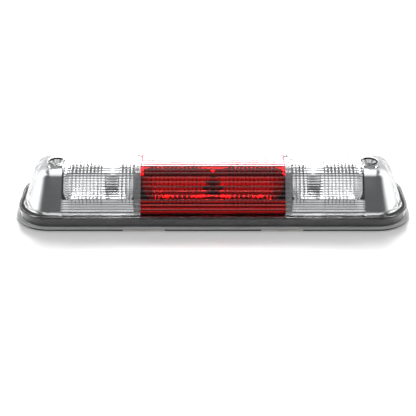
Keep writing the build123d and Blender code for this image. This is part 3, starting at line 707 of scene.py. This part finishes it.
def bulb_glass(name, x):
    """Wedge-base envelope: a round bulb that flattens into its pinched base, hollow above it."""
    solid = Solid()
    rings = []
    shape = [(WEDGE_LOW, 0.93, 1.0), (WEDGE_LOW + 0.4, 1.0, 1.0), (WEDGE_HIGH - 2.0, 1.0, 1.0),
             (WEDGE_HIGH, 1.0, 1.0)]
    shape += [(WEDGE_HIGH + (BULB_SHOULDER - WEDGE_HIGH) * k / NECK_STEPS, 1.0,
               0.5 + 0.5 * math.cos(math.pi * k / NECK_STEPS)) for k in range(1, NECK_STEPS + 1)]
    for z, size, flat in shape:
        half_x = size * (BULB_RADIUS + (WEDGE_HALF_X - BULB_RADIUS) * flat)
        half_y = size * (BULB_RADIUS + (WEDGE_HALF_Y - BULB_RADIUS) * flat)
        power = 1.0 - 0.45 * flat         # 1 gives an ellipse, less a rounded rectangle
        turns = [2 * math.pi * k / 64 for k in range(64)]
        rings.append([(x + half_x * math.copysign(abs(math.cos(t)) ** power, math.cos(t)),
                       BULB_Y + half_y * math.copysign(abs(math.sin(t)) ** power, math.sin(t)), z)
                      for t in turns])
    rings += [disc(x, BULB_Y, z, radius) for radius, z in dome_cap(BULB_RADIUS, BULB_TOP)]
    solid.grid(rings, closed=True)
    solid.face(rings[0])
    solid.face(rings[-1])
    solid.cavity()
    inside = BULB_RADIUS - BULB_WALL
    floor = [(inside * 0.25, 24.4), (inside * 0.6, 24.6), (inside * 0.88, 25.4), (inside, 27.0)]
    lathe(solid, x, BULB_Y, floor + dome_cap(inside, BULB_TOP - BULB_WALL))
    glass = solid.build(f"{name}_envelope", sharp=60.0)
    return placed(glass, f"{name}_socket", "bulb_glass", f"{name}_bulb_glass")


def bulb_wires(name, x):
    """Two wires, each from the filament down through the pinched glass and folded up its outside."""
    solid = Solid()
    for way in (-1, 1):
        side = BULB_Y + way * (WEDGE_HALF_Y + WIRE_RADIUS)
        turn = WEDGE_LOW - 0.05
        path = [(x + way * 2.5, BULB_Y, FILAMENT_Z), (x + way * 2.8, BULB_Y, FILAMENT_Z - 0.3),
                (x + way * WIRE_X, BULB_Y, FILAMENT_Z - 1.0), (x + way * WIRE_X, BULB_Y, 24.0),
                (x + way * WIRE_X, BULB_Y, turn + 0.6), (x + way * WIRE_X, BULB_Y + way * 0.2, turn + 0.1),
                (x + way * WIRE_X, (BULB_Y + side) / 2, turn),
                (x + way * WIRE_X, side - way * 0.3, turn + 0.1), (x + way * WIRE_X, side, turn + 0.6),
                (x + way * WIRE_X, side, WIRE_TOP)]
        tube(solid, path, WIRE_RADIUS)
    wires = solid.build(f"{name}_wires", sharp=60.0)
    return placed(wires, f"{name}_socket", "lead_wire", f"{name}_bulb_leads")


def filament(name, x):
    """Coiled tungsten wire between the two support wires."""
    solid = Solid()
    length, steps = 2 * (WIRE_X - WIRE_RADIUS), 16 * COIL_TURNS
    path = [(x - length / 2 + length * k / steps, BULB_Y + COIL_RADIUS * math.cos(2 * math.pi * k / 16),
             FILAMENT_Z + COIL_RADIUS * math.sin(2 * math.pi * k / 16)) for k in range(steps + 1)]
    tube(solid, path, COIL_WIRE, steps=8)
    coil = solid.build(f"{name}_coil", sharp=60.0)
    return placed(coil, f"{name}_socket", "tungsten", f"{name}_bulb_filament")


# ------------------------------------------------------------------ materials
class Surface:
    """A procedural material about a Principled shader, with its noises in object space."""

    def __init__(self, name, color, roughness, **sockets):
        self.material = bpy.data.materials.new(name)
        self.material.use_nodes = True
        self.tree = self.material.node_tree
        self.shader = self.tree.nodes["Principled BSDF"]
        self.shader.inputs["Base Color"].default_value = (*color, 1.0)
        self.shader.inputs["Roughness"].default_value = roughness
        for socket, value in sockets.items():
            self.shader.inputs[socket.replace("_", " ")].default_value = value
        self.place = self.tree.nodes.new("ShaderNodeTexCoord").outputs["Object"]
        self.normal = None

    def noise(self, size_mm, detail=3.0, stretch=(1, 1, 1)):
        """Noise whose features are about size_mm across."""
        scaled = self.tree.nodes.new("ShaderNodeMapping")
        scaled.inputs["Scale"].default_value = [s / (size_mm * MM) for s in stretch]
        self.tree.links.new(self.place, scaled.inputs["Vector"])
        noise = self.tree.nodes.new("ShaderNodeTexNoise")
        noise.inputs["Scale"].default_value = 1.0
        noise.inputs["Detail"].default_value = detail
        self.tree.links.new(scaled.outputs["Vector"], noise.inputs["Vector"])
        return noise.outputs["Fac"]

    def vary_color(self, fac, dark, light):
        mix = self.tree.nodes.new("ShaderNodeMix")
        mix.data_type = "RGBA"
        mix.inputs["A"].default_value, mix.inputs["B"].default_value = (*dark, 1.0), (*light, 1.0)
        self.tree.links.new(fac, mix.inputs["Factor"])
        self.tree.links.new(mix.outputs["Result"], self.shader.inputs["Base Color"])
        return self

    def vary_roughness(self, fac, low, high):
        ramp = self.tree.nodes.new("ShaderNodeMapRange")
        ramp.inputs["From Min"].default_value, ramp.inputs["From Max"].default_value = 0.3, 0.7
        ramp.inputs["To Min"].default_value, ramp.inputs["To Max"].default_value = low, high
        self.tree.links.new(fac, ramp.inputs["Value"])
        self.tree.links.new(ramp.outputs["Result"], self.shader.inputs["Roughness"])
        return self

    def milky_below(self, height_mm, clearness):
        """Less clear under a height in the lamp's frame, where a clear part thins out to a cloudy edge."""
        height = self.tree.nodes.new("ShaderNodeSeparateXYZ")
        self.tree.links.new(self.place, height.inputs["Vector"])
        ramp = self.tree.nodes.new("ShaderNodeMapRange")
        ramp.inputs["From Min"].default_value = height_mm * MM
        ramp.inputs["From Max"].default_value = (height_mm + 0.3) * MM
        ramp.inputs["To Min"].default_value = clearness
        self.tree.links.new(height.outputs["Z"], ramp.inputs["Value"])
        self.tree.links.new(ramp.outputs["Result"], self.shader.inputs["Transmission Weight"])

    def bump(self, fac, height_mm, strength=1.0):
        bump = self.tree.nodes.new("ShaderNodeBump")
        bump.inputs["Distance"].default_value = height_mm * MM
        bump.inputs["Strength"].default_value = strength
        self.tree.links.new(fac, bump.inputs["Height"])
        if self.normal is not None:
            self.tree.links.new(self.normal, bump.inputs["Normal"])
        self.normal = bump.outputs["Normal"]
        self.tree.links.new(self.normal, self.shader.inputs["Normal"])
        return self


def clear_plastic():
    surface = Surface("clear_polycarbonate", (0.985, 0.99, 0.995), 0.03, Transmission_Weight=1.0, IOR=1.58)
    surface.vary_roughness(surface.noise(25.0), 0.015, 0.045)
    surface.milky_below(LIP_TOP, 0.55)
    return surface.bump(surface.noise(14.0, 1.0), 0.02).material


def red_plastic():
    surface = Surface("red_acrylic", (0.56, 0.012, 0.016), 0.03, Transmission_Weight=1.0, IOR=1.49)
    surface.vary_color(surface.noise(30.0, 1.0), (0.54, 0.011, 0.015), (0.58, 0.013, 0.018))
    surface.vary_roughness(surface.noise(25.0), 0.02, 0.05)
    return surface.bump(surface.noise(14.0, 1.0), 0.02).material


def bright_plating():
    surface = Surface("vacuum_metallised", (0.90, 0.905, 0.915), 0.06, Metallic=1.0)
    surface.vary_color(surface.noise(40.0), (0.87, 0.88, 0.895), (0.92, 0.92, 0.92))
    surface.vary_roughness(surface.noise(18.0), 0.04, 0.11)
    return surface.bump(surface.noise(6.0, 1.0), 0.01).material


def grained(name, dark, light, rough, grain_mm=0.35, height_mm=0.03):
    """Moulded plastic with a fine spark-eroded grain."""
    surface = Surface(name, light, rough)
    surface.vary_color(surface.noise(9.0), dark, light)
    surface.vary_roughness(surface.noise(3.0), rough - 0.08, rough + 0.08)
    surface.bump(surface.noise(grain_mm, 2.0), height_mm)
    return surface.material


def rubber(name, dark, light, shine=0.5):
    surface = Surface(name, light, 0.6, Specular_IOR_Level=shine)
    surface.vary_color(surface.noise(5.0), dark, light)
    surface.vary_roughness(surface.noise(2.0), 0.45, 0.7)
    return surface.bump(surface.noise(0.5, 2.0), 0.02).material


def foam():
    """Closed-cell foam: a skin of small round cells."""
    surface = Surface("closed_cell_foam", (0.03, 0.03, 0.032), 0.85)
    surface.vary_color(surface.noise(3.0), (0.018, 0.018, 0.02), (0.05, 0.05, 0.052))
    cells = surface.tree.nodes.new("ShaderNodeTexVoronoi")
    cells.inputs["Scale"].default_value = 1 / (0.5 * MM)
    surface.tree.links.new(surface.place, cells.inputs["Vector"])
    return surface.bump(cells.outputs["Distance"], 0.15, 0.8).material


def metal(name, dark, light, rough, grain=(1, 1, 1), grain_mm=0.3):
    surface = Surface(name, light, rough, Metallic=1.0)
    surface.vary_color(surface.noise(4.0), dark, light)
    surface.vary_roughness(surface.noise(1.2, 4.0), rough - 0.08, rough + 0.1)
    return surface.bump(surface.noise(grain_mm, 2.0, grain), 0.006).material


def glass():
    surface = Surface("bulb_soda_glass", (0.985, 0.99, 0.985), 0.0, Transmission_Weight=1.0, IOR=1.5)
    surface.vary_roughness(surface.noise(6.0), 0.0, 0.02)
    return surface.bump(surface.noise(5.0, 1.0), 0.02).material


MATERIALS = {
    "clear_lens": clear_plastic(),
    "red_lens": red_plastic(),
    "bright_plating": bright_plating(),
    "seal_rubber": rubber("black_seal_rubber", (0.006, 0.006, 0.007), (0.012, 0.012, 0.013), 0.1),
    "socket_seal_rubber": rubber("red_silicone", (0.24, 0.03, 0.022), (0.36, 0.06, 0.045)),
    "gasket_foam": foam(),
    "housing_plastic": grained("dark_grey_abs", (0.035, 0.036, 0.04), (0.06, 0.061, 0.066), 0.5),
    "divider_plastic": grained("blue_grey_plastic", (0.46, 0.47, 0.50), (0.58, 0.59, 0.62), 0.2),
    "socket_plastic": grained("black_nylon", (0.02, 0.02, 0.022), (0.045, 0.045, 0.05), 0.45, 0.25, 0.02),
    "nylon": grained("natural_nylon", (0.80, 0.78, 0.71), (0.90, 0.88, 0.82), 0.4, 0.6, 0.01),
    "zinc_steel": metal("zinc_plated_steel", (0.52, 0.52, 0.50), (0.70, 0.70, 0.68), 0.3),
    "contact_brass": metal("tinned_brass", (0.66, 0.52, 0.28), (0.82, 0.70, 0.45), 0.25, (1, 1, 6)),
    "lead_wire": metal("nickel_wire", (0.55, 0.53, 0.50), (0.72, 0.70, 0.66), 0.25),
    "tungsten": metal("tungsten_wire", (0.20, 0.20, 0.21), (0.36, 0.36, 0.37), 0.4, (1, 1, 1), 0.1),
    "bulb_glass": glass(),
}


def dress(obj, slot):
    """Gives an object its one material."""
    if not obj.material_slots:
        obj.data.materials.append(None)
    for place in obj.material_slots:
        place.link = "OBJECT"
        place.material = MATERIALS[slot]


# Bevel widths of the CAD nodes that are shown, mm
EDGES = {"housing_plastic": 0.4, "divider_plastic": 0.2, "socket_plastic": 0.3, "nylon": 0.15,
         "zinc_steel": 0.15}


def soften(obj, width_mm):
    """Small rounded edges on a CAD node."""
    bevel = obj.modifiers.new("moulded edge", "BEVEL")
    bevel.width, bevel.segments, bevel.limit_method = width_mm * MM, 2, "ANGLE"
    bevel.angle_limit = math.radians(50)
    bevel.use_clamp_overlap = True


# ------------------------------------------------------------------ the lamp
pieces = [clear_cover(), red_window(), seal_bead(), foam_gasket(), bright_bezel()]
for bulb, bulb_x in BULBS.items():
    pieces += [reflector(bulb, bulb_x), bulb_glass(bulb, bulb_x), bulb_wires(bulb, bulb_x),
               filament(bulb, bulb_x)]
for piece in pieces:
    dress(piece, piece["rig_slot"])

finish = {row["node"]: row["material_slot"] for row in frame["record"]["subparts"]}
for node, obj in frame["nodes"].items():
    dress(obj, finish[node])
    if finish[node] in EDGES:
        soften(obj, EDGES[finish[node]])


# ------------------------------------------------------------------ stage
# Strengths, and where each light fades in or out along a direction's components
ROOM_LIGHT, SIDE_LIGHT, BACK_LIGHT = 0.12, 1.3, 0.65        # the walls: before the lamp, beside, behind
SIDE_EDGE, BACK_EDGE = (-0.45, -0.15), (0.25, 0.6)
CARD_LIGHT = 26.0                                           # narrow bright card behind the lamp
CARD_DEPTH, CARD_EDGE, CARD_FOOT, CARD_TOP = (0.3, 0.5), (0.11, 0.18), (0.02, 0.20), (0.60, 0.70)
TOP_LIGHT, BOX_LIGHT, BETWEEN_LIGHT = 1.6, 0.9, 0.6         # overhead, two softboxes before it, their gap
TOP_EDGE, TOP_DEPTH, BOX_EDGE = (0.76, 0.90), (-0.45, -0.05), (0.10, 0.16)
WING_LIGHT, WING_EDGE = 0.15, (0.22, 0.40)                  # past the overhead lights' far ends


def studio_world():
    """Soft light from overhead and behind, a dim room on the camera's side, plain white to the camera."""
    world = bpy.data.worlds.new("studio")
    bpy.context.scene.world = world
    world.use_nodes = True
    tree = world.node_tree
    tree.nodes.clear()

    def node(kind, **values):
        made = tree.nodes.new(kind)
        for key, value in values.items():
            setattr(made, key, value)
        return made

    def ramp(source, low, high, start, end):
        made = node("ShaderNodeMapRange", interpolation_type="SMOOTHSTEP")
        for name, value in (("From Min", low), ("From Max", high), ("To Min", start), ("To Max", end)):
            made.inputs[name].default_value = value
        tree.links.new(source, made.inputs["Value"])
        return made.outputs["Result"]

    def mix(factor, a, b):
        made = node("ShaderNodeMix", data_type="FLOAT")
        for name, value in (("Factor", factor), ("A", a), ("B", b)):
            if isinstance(value, float):
                made.inputs[name].default_value = value
            else:
                tree.links.new(value, made.inputs[name])
        return made.outputs["Result"]

    way = node("ShaderNodeSeparateXYZ")
    tree.links.new(node("ShaderNodeTexCoord").outputs["Generated"], way.inputs["Vector"])
    across, depth, rise = way.outputs["X"], way.outputs["Y"], way.outputs["Z"]
    side = node("ShaderNodeMath", operation="ABSOLUTE")
    tree.links.new(across, side.inputs[0])
    walls = mix(ramp(depth, *SIDE_EDGE, 0.0, 1.0), ROOM_LIGHT, SIDE_LIGHT)
    walls = mix(ramp(depth, *BACK_EDGE, 0.0, 1.0), walls, BACK_LIGHT)
    card = ramp(side.outputs[0], *CARD_EDGE, 1.0, 0.0)
    card = mix(ramp(depth, *CARD_DEPTH, 0.0, 1.0), 0.0, card)
    card = mix(ramp(rise, *CARD_FOOT, 0.0, 1.0), 0.0, card)
    card = mix(ramp(rise, *CARD_TOP, 0.0, 1.0), card, 0.0)
    walls = mix(card, walls, CARD_LIGHT)
    boxes = mix(ramp(side.outputs[0], *BOX_EDGE, 0.0, 1.0), BETWEEN_LIGHT, BOX_LIGHT)
    boxes = mix(ramp(depth, *TOP_DEPTH, 0.0, 1.0), boxes, TOP_LIGHT)
    boxes = mix(ramp(side.outputs[0], *WING_EDGE, 0.0, 1.0), boxes, WING_LIGHT)
    sky = mix(ramp(rise, *TOP_EDGE, 0.0, 1.0), walls, boxes)
    sky = mix(node("ShaderNodeLightPath").outputs["Is Camera Ray"], sky, 1.0)
    back = node("ShaderNodeBackground")
    back.inputs["Color"].default_value = (1.0, 1.0, 1.0, 1.0)
    tree.links.new(sky, back.inputs["Strength"])
    tree.links.new(back.outputs["Background"], node("ShaderNodeOutputWorld").inputs["Surface"])


FLOOR_HALF = 12.0                         # m


def pale_floor():
    """Pale, slightly glossy floor, open to a view from below."""
    solid = Solid()
    half = FLOOR_HALF / MM
    solid.face([(-half, -half, 0.0), (half, -half, 0.0), (half, half, 0.0), (-half, half, 0.0)])
    floor = solid.build("pale_floor")
    floor.modifiers.clear()
    surface = Surface("pale_gloss_floor", (0.80, 0.80, 0.81), 0.3, Specular_IOR_Level=0.5)
    surface.vary_color(surface.noise(400.0), (0.86, 0.86, 0.865), (0.88, 0.88, 0.885))
    tree = surface.tree
    see_through = tree.nodes.new("ShaderNodeBsdfTransparent")
    sides = tree.nodes.new("ShaderNodeMixShader")
    tree.links.new(tree.nodes.new("ShaderNodeNewGeometry").outputs["Backfacing"], sides.inputs[0])
    tree.links.new(surface.shader.outputs[0], sides.inputs[1])
    tree.links.new(see_through.outputs[0], sides.inputs[2])
    tree.links.new(sides.outputs[0], tree.nodes["Material Output"].inputs["Surface"])
    floor.data.materials.append(surface.material)


CAMERA_AIM = (-0.00486, -0.00091, -0.00158)
CAMERA_RISE, CAMERA_AWAY, CAMERA_LENS = 30.0, 0.95, 81.3      # degrees, m, mm on a 36 mm sensor


def camera():
    data = bpy.data.cameras.new("camera")
    data.lens, data.sensor_width = CAMERA_LENS, 36.0
    eye = bpy.data.objects.new("camera", data)
    rise = math.radians(CAMERA_RISE)
    x, y, z = CAMERA_AIM
    eye.location = (x, y - CAMERA_AWAY * math.cos(rise), z + CAMERA_AWAY * math.sin(rise))
    eye.rotation_euler = (math.radians(90.0) - rise, 0.0, 0.0)
    bpy.context.scene.collection.objects.link(eye)
    bpy.context.scene.camera = eye


studio_world()
pale_floor()
camera()
bpy.context.scene.view_settings.view_transform = "Standard"
